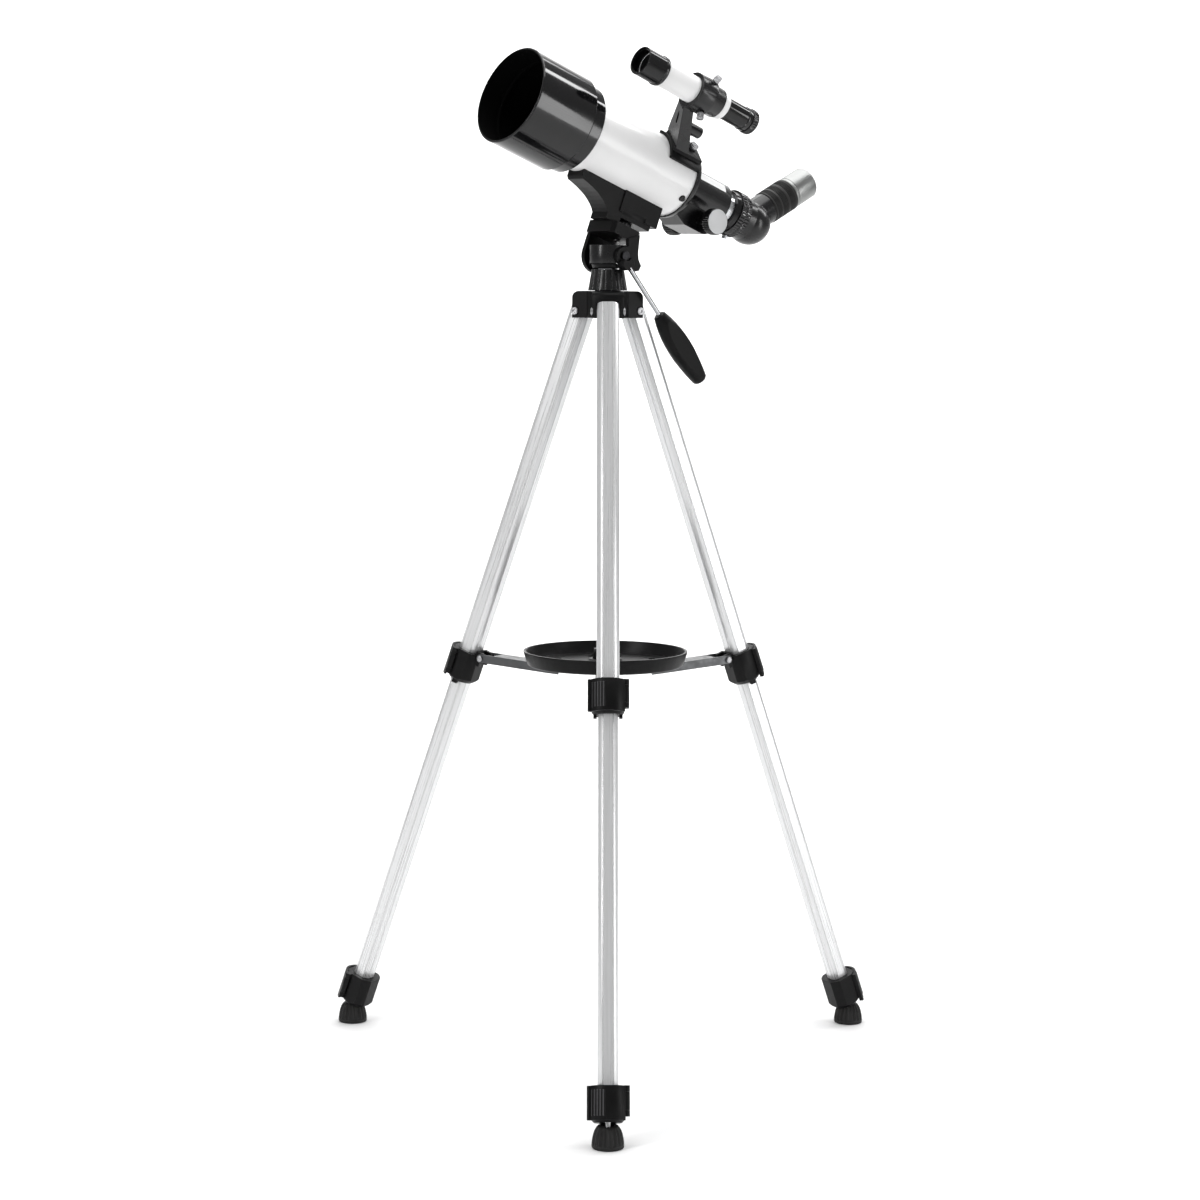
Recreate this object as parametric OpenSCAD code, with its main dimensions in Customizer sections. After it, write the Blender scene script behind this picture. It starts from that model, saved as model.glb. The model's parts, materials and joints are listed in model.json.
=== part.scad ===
// Tabletop refractor telescope on a folding three-leg stand, millimetres, +Z up.
// Each leg, the pan head, the telescope and the finder are drawn in frames of their own.

/* [Tripod] */
// Lean of each leg from the vertical, in degrees
leg_splay = 20.4; // [19.5:0.1:21.5]
// Radius of the circle that the three foot balls stand on
foot_circle_r = 284.2; // [275:0.1:295]
// Distance of each leg pivot from the tripod axis
pivot_r = 26.6; // [26:0.1:27]
// Width across the flats of the upper leg tube
upper_tube_w = 20.4; // [20:0.1:20.8]
// Distance down the leg from its pivot to the top of the upper clamp
upper_clamp_at = 345; // [335:1:350]
// Length of each clamp sleeve
clamp_h = 31; // [28:1:34]
// Radius of the accessory tray's rim
tray_r = 76.4; // [70:0.1:78]
// Height of the accessory tray's rim above the floor
tray_rim_z = 389.9; // [388:0.1:392]

/* [Head] */
// Compass direction that the telescope points in, counted from +X
heading = 217.4; // [0:0.1:359]
// Angle of the pan handle below the horizontal
handle_drop = 50.5; // [49:0.1:55]
// Length of the handle's grip
grip_l = 79; // [60:1:90]

/* [Telescope] */
// Height of the point where the optical axis crosses the tripod axis
tube_z = 853.5; // [853:0.1:856]
// Elevation of the optical axis
tube_tilt = 21.1; // [20.5:0.1:22]
// Outer radius of the white main tube
tube_r = 34.1; // [34:0.1:34.3]
// Outer radius of the dew shield
dew_r = 45.5; // [44:0.1:48]
// Front end of the dew shield along the optical axis
dew_front = 119.8; // [100:0.1:130]
// Bend of the diagonal from straight through
elbow_angle = 47.9; // [45:0.1:50]
// Outer radius of the draw tube
draw_r = 17; // [17:0.1:17.2]

/* [Finder] */
// Angle of the finder round the main tube, from the top
finder_angle = 44; // [30:1:50]
// Distance between the optical axes of the finder and the telescope
finder_offset = 90.1; // [89:0.1:92]
// Outer radius of the finder's tube
finder_r = 12.5; // [12:0.1:12.6]

/* [Hidden] */
// Place of the tripod axis, counted from the middle of the whole model's box
axis_x = 0;
axis_y = 69.1;
leg_azimuth = [-90, 30, 150];
running = 0.05;
sliding = 0.4;
$fn = 64;

// Leg: distances down the leg are counted from the pivot
ball_z = 12;
ball_r = 5;
leg_l = (foot_circle_r - pivot_r) / sin(leg_splay);
pivot_z = ball_z + (foot_circle_r - pivot_r) / tan(leg_splay);
fold_angle = 5;
upper_half = upper_tube_w / 2;
tube_step = 1.5;
corner_extra = 1.1;
wall = 1.1;
middle_half = upper_half - tube_step;
lower_half = middle_half - tube_step + 0.1;
upper_end = upper_clamp_at + clamp_h - 5;
lower_clamp_at = leg_l - 40;
middle_top = upper_clamp_at - 13;
middle_end = lower_clamp_at + 15;
lower_top = upper_clamp_at + 47;
lower_end = leg_l - 12;
sleeve_r = 15;
sleeve_half = 14.4;
hinge_x = 8;
hinge_y = 15.6;
knuckle_r = 3;
knuckle_h = 5;
lever_t = 2.2;
pivot_pin_r = 2;

// Spreader: rivets sit inboard of each upper clamp
rivet_at = upper_clamp_at + 1;
rivet_in = 17.6;
rivet_r = 1.6;
arm_half_h = 4;
rivet_rad = pivot_r + rivet_at * sin(leg_splay) - rivet_in * cos(leg_splay);
rivet_z = pivot_z - rivet_at * cos(leg_splay) - rivet_in * sin(leg_splay);
hub_pin_r = 24;
hub_pin_z = rivet_z - 6.7;
arm_l = sqrt(pow(rivet_rad - hub_pin_r, 2) + pow(rivet_z - hub_pin_z, 2));
arm_drop = atan2(rivet_z - hub_pin_z, rivet_rad - hub_pin_r);
tray_base_z = 376.2;

// Crown, column and pan head
crown_low = 698.5;
crown_top = 723;
crown_r = 32.8;
crown_round = 6;
column_r = 9;
column_bottom = 483;
nut_low = 723.5;
nut_top = 743;
barrel_r = 17;
barrel_low = 748.4;
barrel_top = 765;
tilt_x = -2;
tilt_z = 755;
cheek_in = 17.4;
cheek_out = 22;
handle_x = -3.2;
handle_y = 24;
handle_z = tilt_z - 7;
socket_r = 6.2;
rod_l = 60.5;
rod_r = 2.2;

// Telescope: s runs forward along the optical axis and h runs up from it
tilt_s = tilt_x * cos(tube_tilt) + (tilt_z - tube_z) * sin(tube_tilt);
tilt_h = -tilt_x * sin(tube_tilt) + (tilt_z - tube_z) * cos(tube_tilt);
platform_top = -64;
camera_s = -40;
camera_r = 3.15;
platform_low = -75;
tube_rear = -80.9;
tube_front = 41.6;
cell_front = 55.2;
lens_r = 35.4;
lens_front = cell_front + 5;
lens_rear = tube_front + 8.7;
focuser_r = 21.2;
focuser_rear = -138.7;
flange_rear = -86;
shaft_s = -120;
shaft_h = -24.5;
shaft_r = 2.5;
module_mm = 0.8;
pinion_teeth = 14;
pinion_r = module_mm * pinion_teeth / 2;
rack_h = shaft_h + pinion_r;
tooth_up = 0.55;
tooth_down = 0.85;
tooth_half = 0.52;
flank = 0.36;
draw_bore_r = 15.95;
draw_front = -60;
collar_front = -149;
collar_rear = -167;
ball_s = -183;
elbow_s = -178.5;
elbow_ball_r = 20.9;
eye_step = 10;
grip_top = 40.3;
eye_top = 68;
eye_r = 15.45;
screw_s = -38;

// ---- Frames ----

module at_axis() translate([axis_x, axis_y, 0]) children();

// Frame of leg i, +X outward from the tripod axis
module at_leg(i) at_axis() rotate([0, 0, leg_azimuth[i]]) children();

// Frame on the pivot of leg i, -Z down the leg, folded inward by an angle
module on_leg(i, fold = 0)
    at_leg(i) translate([pivot_r, 0, pivot_z]) rotate([0, fold - leg_splay, 0]) children();

// Frame of the pan head, +X forward and +Y to the telescope's left
module at_head() at_axis() rotate([0, 0, heading]) children();

// Frame of the telescope, +X forward along the optical axis
module at_tube() at_head() translate([0, 0, tube_z]) rotate([0, -tube_tilt, 0]) children();

// Frame turned to the finder's side of the tube, +Z away from the optical axis
module at_shoe() at_tube() rotate([-finder_angle, 0, 0]) children();

module at_finder() at_shoe() translate([0, 0, finder_offset]) children();

// Frame along the eyepiece's axis, +Z towards the eye
module at_eyepiece()
    at_tube() translate([elbow_s, 0, 0]) rotate([0, elbow_angle - 90, 0])
        translate([0, 0, 17.7]) children();

// Frame on the handle, +Z down along its rod
module at_handle()
    at_head() translate([handle_x, handle_y, handle_z]) rotate([0, -90 - handle_drop, 0]) children();

// ---- Shared shapes ----

// Cylinder along +X between two positions
module along(x0, x1, r0, r1 = undef)
    translate([x0, 0, 0]) rotate([0, 90, 0])
        cylinder(h = x1 - x0, r1 = r0, r2 = r1 == undef ? r0 : r1);

// Cylinder along Y, centred on the plane y = 0
module across(r, w) rotate([90, 0, 0]) cylinder(r = r, h = w, center = true);

// Ring of n small cylinders along +Z on a circle
module flutes(n, ring_r, r, h)
    for (k = [0 : n - 1]) rotate([0, 0, 360 * k / n])
        translate([ring_r, 0, 0]) cylinder(r = r, h = h, $fn = 16);

// Flat-sided tube section: a square with its corners turned off
module tube_outline(half) intersection() {
    square(2 * half, center = true);
    circle(half + corner_extra);
}

// Grooves where the flats of a leg tube meet its shoulders
module tube_grooves(half) for (k = [0 : 3]) rotate(90 * k) for (side = [-1, 1])
    translate([half + 0.05, side * sqrt(pow(half + corner_extra, 2) - half * half)]) circle(0.45, $fn = 16);

// Length of leg tube between two distances down the leg
module leg_tube(half, top, end) translate([0, 0, -end]) linear_extrude(end - top) difference() {
    tube_outline(half);
    tube_outline(half - wall);
    tube_grooves(half);
}

function quad(a, b, c, t) = a * pow(1 - t, 2) + 2 * b * t * (1 - t) + c * pow(t, 2);

// Half of a turned part's section closed by a smooth curve, as points for rotate_extrude
function curve(a, b, c, n) = [for (k = [0 : n]) quad(a, b, c, k / n)];

// ---- Legs ----

module upper_tube(i) color("silver") on_leg(i) difference() {
    leg_tube(upper_half, -6, upper_end);
    across(pivot_pin_r + running, 40);
}

module middle_tube(i) color("silver") on_leg(i) leg_tube(middle_half, middle_top, middle_end);

// Innermost tube with its end plug and the ball that carries the foot
module lower_tube(i) color("silver") on_leg(i) {
    leg_tube(lower_half, lower_top, lower_end);
    translate([0, 0, -lower_end]) difference() {
        union() {
            translate([0, 0, -2]) cylinder(r = lower_half - wall + 1.5, h = 2);
            linear_extrude(8) tube_outline(lower_half - wall - running);
            translate([0, 0, lower_end - leg_l]) cylinder(r = 2.5, h = leg_l - lower_end);
            translate([0, 0, lower_end - leg_l]) sphere(ball_r);
        }
        translate([0, 0, 2]) cylinder(r = 4, h = 7);
    }
}

// Outer shape of a clamp sleeve
module sleeve_outline() intersection() {
    square([2 * sleeve_half, 2 * sleeve_half], center = true);
    circle(sleeve_r + 1.2);
}

// Knuckles at the top and bottom of a clamp that hold the lever's pin
module clamp_knuckles(at) for (z = [-at - knuckle_h, -at - clamp_h + 5])
    translate([0, 0, z]) difference() {
        union() {
            translate([hinge_x, hinge_y, 0]) cylinder(r = knuckle_r, h = knuckle_h);
            intersection() {
                translate([hinge_x - knuckle_r, 8, 0]) cube([2 * knuckle_r, hinge_y - 8, knuckle_h]);
                cylinder(r = sleeve_r + 1.3, h = knuckle_h);
            }
        }
        translate([0, 0, -1]) linear_extrude(knuckle_h + 2) circle(13);
    }

module hinge_pin(at) translate([hinge_x, hinge_y, -at - clamp_h + 5]) cylinder(r = 1.2, h = clamp_h - 5);

// Sleeve with stepped bore: the outer tube ends inside it and the inner tube slides through
module clamp_sleeve(at, outer_half, inner_half, grip_h) difference() {
    union() {
        translate([0, 0, -at - clamp_h + 5]) linear_extrude(clamp_h - 5) sleeve_outline();
        translate([0, 0, -at - clamp_h]) intersection() {
            linear_extrude(5) sleeve_outline();
            translate([0, 0, -12]) cylinder(r1 = 0, r2 = 24, h = 24);
        }
    }
    translate([0, 0, -at - grip_h]) linear_extrude(grip_h + 1) tube_outline(outer_half + running);
    translate([0, 0, -at - clamp_h - 1]) linear_extrude(clamp_h) tube_outline(inner_half + sliding);
    translate([hinge_x, hinge_y, -at - clamp_h + 10]) cylinder(r = knuckle_r + 0.4, h = clamp_h - 15);
}

// Two lugs inboard of the upper clamp that carry the spreader arm's rivet
module rivet_lugs() difference() {
    union() {
        translate([-rivet_in, 0, -rivet_at]) across(4.4, 16.8);
        translate([-rivet_in, -8.4, -rivet_at - 9]) cube([6.5, 16.8, 13.4]);
    }
    translate([-rivet_in, 0, -rivet_at]) across(rivet_r + running, 30);
    translate([-30, -5, -rivet_at - 20]) cube([17, 10, 40]);
    translate([0, 0, -rivet_at - 20]) linear_extrude(40) tube_outline(upper_half + running);
}

module upper_clamp(i) color("dimgray") on_leg(i) {
    clamp_sleeve(upper_clamp_at, upper_half, middle_half, clamp_h - 5);
    clamp_knuckles(upper_clamp_at);
    hinge_pin(upper_clamp_at);
    rivet_lugs();
    for (side = [-1, 1])
        translate([-2.5, side * 11.4 - 1.5, -upper_clamp_at - clamp_h - 2.6]) cube([5, 3, 5]);
}

module lower_clamp(i) color("dimgray") on_leg(i) {
    clamp_sleeve(lower_clamp_at, middle_half, lower_half, 15);
    clamp_knuckles(lower_clamp_at);
    hinge_pin(lower_clamp_at);
}

// Curved cam lever that lies over the outer face of a clamp
module flip_lever(i, at) color("dimgray") on_leg(i) difference() {
    union() {
        translate([hinge_x, hinge_y, -at - clamp_h + 10.3]) cylinder(r = knuckle_r, h = clamp_h - 15.6);
        translate([0, 0, -at - clamp_h + 1.5]) linear_extrude(clamp_h - 2) intersection() {
            difference() {
                circle(sleeve_r + 1.6 + lever_t);
                circle(sleeve_r + 1.6);
            }
            polygon([[0, 0], [40, 75], [60, 0], [40, -64]]);
        }
        for (k = [0 : 5]) rotate([0, 0, -46 + 7.4 * k])
            translate([sleeve_r + 1.6 + lever_t, 0, -at - clamp_h + 5])
                cylinder(r = 0.5, h = clamp_h - 9, $fn = 16);
        translate([0, 0, -at - clamp_h + 1.5]) linear_extrude(clamp_h - 2) rotate(-57)
            translate([sleeve_r + 1.6, -2.2]) square([lever_t + 1.4, 2.6]);
    }
    translate([hinge_x, hinge_y, -at - clamp_h]) cylinder(r = 1.2 + running, h = clamp_h + 1);
    for (z = [-at - knuckle_h - 0.3, -at - clamp_h])
        translate([hinge_x, hinge_y, z])
            cylinder(r = knuckle_r + 0.5, h = knuckle_h + (z < -at - 9 ? 5.3 : 1));
}

// Rubber foot with a ball socket, flutes round its skirt and a slot for the neck
module foot(i) color("black") at_leg(i) translate([foot_circle_r, 0, 0]) difference() {
    rotate_extrude() polygon(concat([[0, 0], [13.2, 0], [14, 0.9], [14, 2.6]],
        curve([13.7, 4], [12, 12], [9.8, 17.5], 4), [[8.6, 19.2], [6.4, 20], [0, 20]]));
    translate([0, 0, ball_z]) sphere(ball_r + 0.3);
    for (a = [-2 : 8 : 30]) translate([0, 0, ball_z]) rotate([0, -a, 0]) cylinder(r = 3.1, h = 16);
    for (k = [0 : 19]) rotate([0, 0, 18 * k + 9]) translate([15.6, 0, 2.5]) rotate([0, -14, 0])
        cylinder(r = 1.9, h = 16, $fn = 16);
}

// Folded steel strip between a clamp and the hub, with its rivet
module spreader_arm(i) color("gray") at_leg(i)
    translate([rivet_rad, 0, rivet_z]) rotate([0, -arm_drop, 0]) {
        difference() {
            union() {
                for (side = [-1, 1]) {
                    translate([0, side * 9.5, 0]) across(arm_half_h, 1.2);
                    translate([-arm_l, side * 9.5 - 0.6, -arm_half_h]) cube([arm_l, 1.2, 2 * arm_half_h]);
                    translate([-arm_l, side * 9.5, 0]) across(arm_half_h, 1.2);
                }
                translate([-arm_l, -10.1, arm_half_h - 1.2]) cube([arm_l - 14, 20.2, 1.2]);
            }
            translate([-arm_l - 10, 6.2, -10]) rotate([0, 0, 5]) cube([40, 10, 20]);
            translate([-arm_l - 10, -16.2, -10]) rotate([0, 0, -5]) cube([45, 10, 20]);
        }
        difference() {
            union() {
                across(rivet_r, 21);
                for (side = [-1, 1]) translate([0, side * 10.9, 0]) across(3, 1.6);
            }
            translate([0, -11.9, 0]) sphere(1.2, $fn = 24);
        }
    }

// ---- Crown, column and tray ----

// Turned outline of the crown, rounded over at its top edge
module crown_outline() rotate_extrude() {
    translate([0, crown_low]) square([crown_r, crown_top - crown_low - crown_round]);
    translate([0, crown_low]) square([crown_r - crown_round, crown_top - crown_low]);
    translate([crown_r - crown_round, crown_top - crown_round]) circle(crown_round);
}

module tripod_crown() color("black") difference() {
    union() {
        intersection() {
            at_axis() crown_outline();
            for (i = [0 : 2]) at_leg(i) translate([0, -14.5, crown_low]) cube([crown_r, 29, 30]);
        }
        at_axis() translate([0, 0, crown_low]) cylinder(r = 20, h = crown_top - crown_low);
        at_axis() translate([0, 0, crown_top]) cylinder(r = 11.8, h = 13);
    }
    at_axis() translate([0, 0, crown_low - 1]) cylinder(r = column_r + 0.3, h = 60);
    for (i = [0 : 2]) {
        for (fold = [0, fold_angle + 0.5]) on_leg(i, fold)
            translate([0, 0, -40]) linear_extrude(47) tube_outline(upper_half + 0.45);
        on_leg(i) across(pivot_pin_r + 0.1, 60);
        for (side = [-1, 1]) on_leg(i) translate([0, side * 14.4, 0]) across(4.1, 1.4);
    }
    for (k = [0 : 3]) at_axis() rotate([0, 0, 45 + 90 * k])
        translate([5, -0.6, crown_top + 1]) cube([12, 1.2, 20]);
}

module leg_pivot_screws() color("silver") for (i = [0 : 2]) on_leg(i) difference() {
    union() {
        across(pivot_pin_r, 28);
        for (side = [-1, 1]) translate([0, side * 14.7, 0]) across(3.4, 1.8);
        for (side = [-1, 1]) translate([0, side * 15.6, 0]) across(2.6, 0.8);
    }
    for (side = [-1, 1]) translate([0, side * 15.8, 0]) rotate([90, 0, 0])
        cylinder(r = 1.5, h = 1.6, center = true, $fn = 6);
}

module spreader_hub() color("black") at_axis() difference() {
    union() {
        for (i = [0 : 2]) rotate([0, 0, leg_azimuth[i] + 60]) {
            translate([0, -5, tray_base_z - 3.6]) cube([22, 10, 3.5]);
            translate([22, 0, tray_base_z - 3.6]) cylinder(r = 5, h = 3.5);
        }
        translate([0, 0, tray_base_z - 14]) cylinder(r = 9, h = 11);
    }
    translate([0, 0, tray_base_z - 20]) cylinder(r = 3 + running, h = 30);
}

// Dished tray with three eyepiece holes and three smaller ones
module accessory_tray() color("black") at_axis() difference() {
    rotate_extrude($fn = 96) polygon([[4, tray_base_z], [71, tray_base_z], [72.6, tray_base_z + 1],
        [tray_r, tray_rim_z - 1.6], [tray_r, tray_rim_z], [tray_r - 2.2, tray_rim_z],
        [tray_r - 2.6, tray_rim_z - 1.8], [70.6, tray_base_z + 2.4], [17, tray_base_z + 2.4],
        [15, tray_base_z + 6.4], [4, tray_base_z + 6.4]]);
    for (i = [0 : 2]) rotate([0, 0, leg_azimuth[i] + 60]) {
        translate([45, 0, tray_base_z - 1]) cylinder(r = 16.1, h = 6);
        rotate([0, 0, 60]) translate([55, 0, tray_base_z - 1]) cylinder(r = 7, h = 6);
    }
    translate([0, 0, tray_base_z - 1]) cylinder(r = 8, h = 3);
}

// Screw knob that clamps the tray on the hub
module tray_knob() color("black") at_axis() {
    difference() {
        translate([0, 0, tray_base_z + 6.7]) cylinder(r1 = 12, r2 = 10.5, h = 9);
        translate([0, 0, tray_base_z + 6]) flutes(16, 12.4, 1.4, 12);
    }
    translate([0, 0, tray_base_z - 16]) cylinder(r = 3, h = 24);
}

module center_column() color("silver") at_axis() difference() {
    translate([0, 0, column_bottom]) cylinder(r = column_r, h = barrel_low - column_bottom - 0.3);
    translate([0, 0, column_bottom + 3]) cylinder(r = column_r - 1.4, h = 300);
}

// Fluted conical nut that tightens the crown's split collar on the column
module column_lock_nut() color("black") at_axis() difference() {
    translate([0, 0, nut_low]) cylinder(r1 = 18.3, r2 = 15, h = nut_top - nut_low);
    translate([0, 0, nut_low - 1]) cylinder(r = 12.2, h = 14.5);
    translate([0, 0, nut_low - 1]) cylinder(r = column_r + 0.4, h = 30);
    for (k = [0 : 17]) rotate([0, 0, 20 * k]) translate([19.5, 0, nut_low + 1.2]) rotate([0, -9.6, 0])
        cylinder(r = 1.8, h = 30, $fn = 16);
}

// ---- Pan head ----

module pan_base() color("black") at_axis() difference() {
    translate([0, 0, nut_top + 0.5]) cylinder(r1 = 13.5, r2 = 15.5, h = barrel_low - nut_top - 0.9);
    translate([0, 0, nut_top - 1]) cylinder(r = column_r + 0.02, h = 10);
}

module pan_barrel() color("black") at_head() difference() {
    union() {
        intersection() {
            translate([0, 0, barrel_low]) cylinder(r = barrel_r, h = barrel_top - barrel_low);
            union() {
                translate([-20, -20, barrel_low]) cube([40, 40, 8]);
                translate([tilt_x, -20, barrel_low]) cube([40, 40, 30]);
                translate([tilt_x, 0, tilt_z]) across(15.6, 40);
            }
        }
        translate([0, 0, barrel_low - 14]) cylinder(r = column_r - 1.4 - running, h = 15);
    }
    translate([tilt_x, 0, tilt_z]) across(2.6, 60);
}

// Platform, two cheeks round the tilt axis and the boss that takes the handle
module tilt_yoke() color("black") {
    difference() {
        union() {
            at_tube() translate([-33.3, 0, platform_low]) intersection() {
                translate([-17.3, -20, 0]) cube([34.6, 40, platform_top - platform_low]);
                cylinder(r = 24, h = platform_top - platform_low);
            }
            at_tube() translate([tilt_s, 0, 0]) {
                translate([0, -(cheek_in + cheek_out) / 2, tilt_h]) across(16, cheek_out - cheek_in);
                translate([-16, -cheek_out, tilt_h])
                    cube([32, cheek_out - cheek_in, platform_top - tilt_h - 3]);
            }
            at_head() translate([tilt_x, (cheek_in + cheek_out) / 2, tilt_z])
                across(8.5, cheek_out - cheek_in);
            at_head() rotate([90, 0, 0]) translate([0, 0, -cheek_out]) linear_extrude(cheek_out - cheek_in)
                polygon([[-3, 747], [-3, 763], [-7, 764], [-7, 771], [-20, 774], [-18, 758], [-18.5, 752],
                    [-21.5, 746], [-19, 741.6], [-12, 740.6]]);
            at_head() translate([handle_x, (cheek_in + handle_y + 3.4) / 2, handle_z])
                across(socket_r, handle_y + 3.4 - cheek_in);
        }
        at_head() translate([0, 0, barrel_low - 3])
            cylinder(r = barrel_r + 0.35, h = barrel_top - barrel_low + 3.3);
        at_head() translate([tilt_x, 0, tilt_z]) across(2.6, 60);
        at_head() translate([tilt_x, cheek_out + 4.1, tilt_z]) across(4.6, 8);
        at_tube() translate([camera_s, 0, -90]) cylinder(r = camera_r + running, h = 40);
        at_handle() translate([0, 0, -2.5]) cylinder(r = rod_r + running, h = 20);
        at_handle() translate([0, 0, 4]) cylinder(r = 3.6, h = 8);
    }
}

module tilt_bolt() color("dimgray") at_head() translate([tilt_x, 0, tilt_z]) {
    across(2.5, 2 * cheek_out + 2);
    for (side = [-1, 1]) translate([0, side * (cheek_out + 1.5), 0]) across(4.2, 2.4);
}

module handle_rod() color("silver") at_handle() translate([0, 0, -2]) cylinder(r = rod_r, h = rod_l + 12.5);

// Grip with a barrel-shaped outline and two flat faces
module handle_grip() color("black") at_handle() translate([0, 0, rod_l]) difference() {
    intersection() {
        rotate_extrude() polygon(concat([[0, 0], [4.6, 0]],
            curve([6, 1.2], [12.6, 22], [11.3, 47], 6), curve([11, 50], [9.6, 66], [7.2, grip_l - 1.6], 4),
            [[5.8, grip_l], [0, grip_l]]));
        translate([-20, -8, -1]) cube([40, 16, 100]);
    }
    translate([0, 0, -1]) cylinder(r = rod_r + running, h = 13.1);
    translate([0, -8, 62]) sphere(1.6, $fn = 24);
}

// Captive wheel and stud that hold the saddle on the platform
module camera_screw() color("dimgray") at_tube() translate([camera_s, 0, 0]) {
    difference() {
        translate([0, 0, platform_top + 0.3]) cylinder(r = 9, h = 6.2);
        translate([0, 0, platform_top]) flutes(16, 9.5, 1, 8);
    }
    translate([0, 0, platform_low - 1]) cylinder(r = camera_r, h = 27);
}

// Cradle under the main tube, with a horn that sweeps forward
module saddle() color("dimgray") at_tube() difference() {
    union() {
        rotate([90, 0, 0]) linear_extrude(23, center = true) polygon(concat(
            [[-70, -25], [27, -25], [27, -38.5]], curve([25, -41], [-4, -46], [-12, -58], 8),
            [[-12, platform_top + 0.05], [-28, platform_top + 0.05], [-28, -57], [-63.5, -57],
            [-63.5, -52], [-70, -52]]));
        translate([-70, -13, -52]) cube([46, 26, 27]);
    }
    along(-100, 60, tube_r + 0.05);
    translate([camera_s, 0, -70]) cylinder(r = camera_r + running, h = 22);
    for (side = [-1, 1]) translate([-55, side * 18, -52]) rotate([0, 90, 0]) cylinder(r = 6.6, h = 27);
}

// ---- Telescope ----

module main_tube() color("white") at_tube() difference() {
    along(tube_rear, tube_front + 8, tube_r);
    along(tube_rear - 1, tube_front + 9, tube_r - 1.1);
}

// Open-ended hood with a stepped rear wall
module dew_shield() color("black") at_tube() rotate([0, 90, 0]) rotate_extrude($fn = 96)
    polygon([[39.1, cell_front + 0.05], [dew_r - 1.2, cell_front + 0.05], [dew_r, cell_front + 1.4],
        [dew_r, dew_front - 0.8], [dew_r - 0.7, dew_front], [dew_r - 2, dew_front],
        [dew_r - 2, dew_front - 22], [dew_r - 3, dew_front - 23], [dew_r - 3, dew_front - 25],
        [dew_r - 2.2, dew_front - 26], [dew_r - 2.2, cell_front + 2.2], [39.1, cell_front + 2.2]]);

// Ring on the front of the tube, with a spigot for the hood and a seat for the lens
module objective_cell() color("black") at_tube() rotate([0, 90, 0]) {
    rotate_extrude($fn = 96) polygon([[tube_r + 0.02, tube_front], [40.9, tube_front],
        [41.9, tube_front + 1.2], [41.9, cell_front], [39, cell_front], [39, cell_front + 7],
        [35.6, cell_front + 7], [35.6, tube_front + 8.6], [33, tube_front + 8.6],
        [33, tube_front + 8.1], [tube_r + 0.02, tube_front + 8.1]]);
    rotate_extrude($fn = 96) polygon([[33.6, cell_front + 2.5], [35.5, cell_front + 2.5],
        [35.5, cell_front + 7.6], [33.6, cell_front + 7.6]]);
}

// Arc of a lens face from the axis out to a radius, for rotate_extrude
function lens_arc(face_r, vertex, rim, n) = [for (k = [0 : n])
    let (a = asin(rim / face_r) * k / n) [abs(face_r) * sin(abs(a)), vertex - face_r * (1 - cos(a))]];

function backwards(points) = [for (k = [len(points) - 1 : -1 : 0]) points[k]];

// Two-element objective: a biconvex crown in front of a flint with a matching hollow
module objective_lens() color("lightblue") at_tube() rotate([0, 90, 0]) {
    rotate_extrude() polygon(concat(backwards(lens_arc(-160, lens_front - 8, lens_r, 8)),
        lens_arc(214, lens_front, lens_r, 8)));
    rotate_extrude() polygon(concat([[0, lens_rear]], lens_arc(-160, lens_front - 8.2, lens_r, 8),
        [[lens_r, lens_rear]]));
}

// Flange, barrel and pinion housing
module focuser_body() color("black") at_tube() {
    difference() {
        union() {
            along(flange_rear, tube_rear - 0.02, 34.4, tube_r + 1.7);
            along(tube_rear - 0.03, tube_rear + 9, tube_r - 1.15);
            along(focuser_rear, flange_rear + 1, focuser_r);
            rotate([90, 0, 0]) linear_extrude(30, center = true) union() {
                polygon([[flange_rear + 1, -5], [-134, -5], [-134, -27], [shaft_s, -36],
                    [-98, -36], [flange_rear + 1, -30]]);
                translate([shaft_s, shaft_h]) circle(11.5);
            }
        }
        along(focuser_rear - 10, -60, draw_r + 0.3);
        along(tube_rear + 1, -60, 31);
        translate([-150, -4, -21.4]) cube([90, 8, 10]);
        translate([shaft_s, 0, shaft_h]) across(7.2, 9);
        translate([shaft_s, 0, shaft_h]) across(shaft_r + running, 80);
        for (k = [0 : 2]) rotate([-120 * k - 124, 0, 0])
            translate([-76.4, 0, 30]) cylinder(r = 1.5, h = 10);
    }
    for (k = [0 : 2]) rotate([-120 * k - 124, 0, 0]) translate([-76.4, 0, 0]) difference() {
        translate([0, 0, tube_r + 0.05]) cylinder(r1 = 3.3, r2 = 2.6, h = 1.5);
        for (turn = [0, 90]) rotate([0, 0, turn]) translate([-2, -0.4, tube_r + 0.9]) cube([4, 0.8, 2]);
    }
}

// Chromed tube with the rack along its underside and the screw that holds the diagonal
module draw_tube() color("silver") at_tube() {
    difference() {
        union() {
            along(collar_rear + 2, draw_front, draw_r);
            difference() {
                translate([-135, -3.5, rack_h - tooth_up]) cube([60, 7, -15 - rack_h]);
                for (k = [-13 : 38])
                    translate([shaft_s + (k + 0.5) * PI * module_mm, 0, rack_h]) rack_gap();
            }
        }
        along(collar_rear - 5, draw_front + 1, draw_bore_r);
        translate([-160, 0, -30]) cylinder(r = 1.7, h = 20);
    }
    translate([-160, 0, -25.6]) difference() {
        union() {
            cylinder(r = 2.9, h = 3.4);
            cylinder(r = 1.6, h = 9);
        }
        translate([0, 0, -1]) flutes(12, 3.1, 0.45, 4.2);
    }
}

// Space between two rack teeth, wider at the mouth
module rack_gap() rotate([90, 0, 0]) linear_extrude(9, center = true) polygon([
    for (p = [[-1, -tooth_up - 0.1], [1, -tooth_up - 0.1], [1, tooth_down], [-1, tooth_down]])
        [p[0] * (PI * module_mm / 2 - tooth_half - p[1] * flank), p[1]]]);

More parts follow.
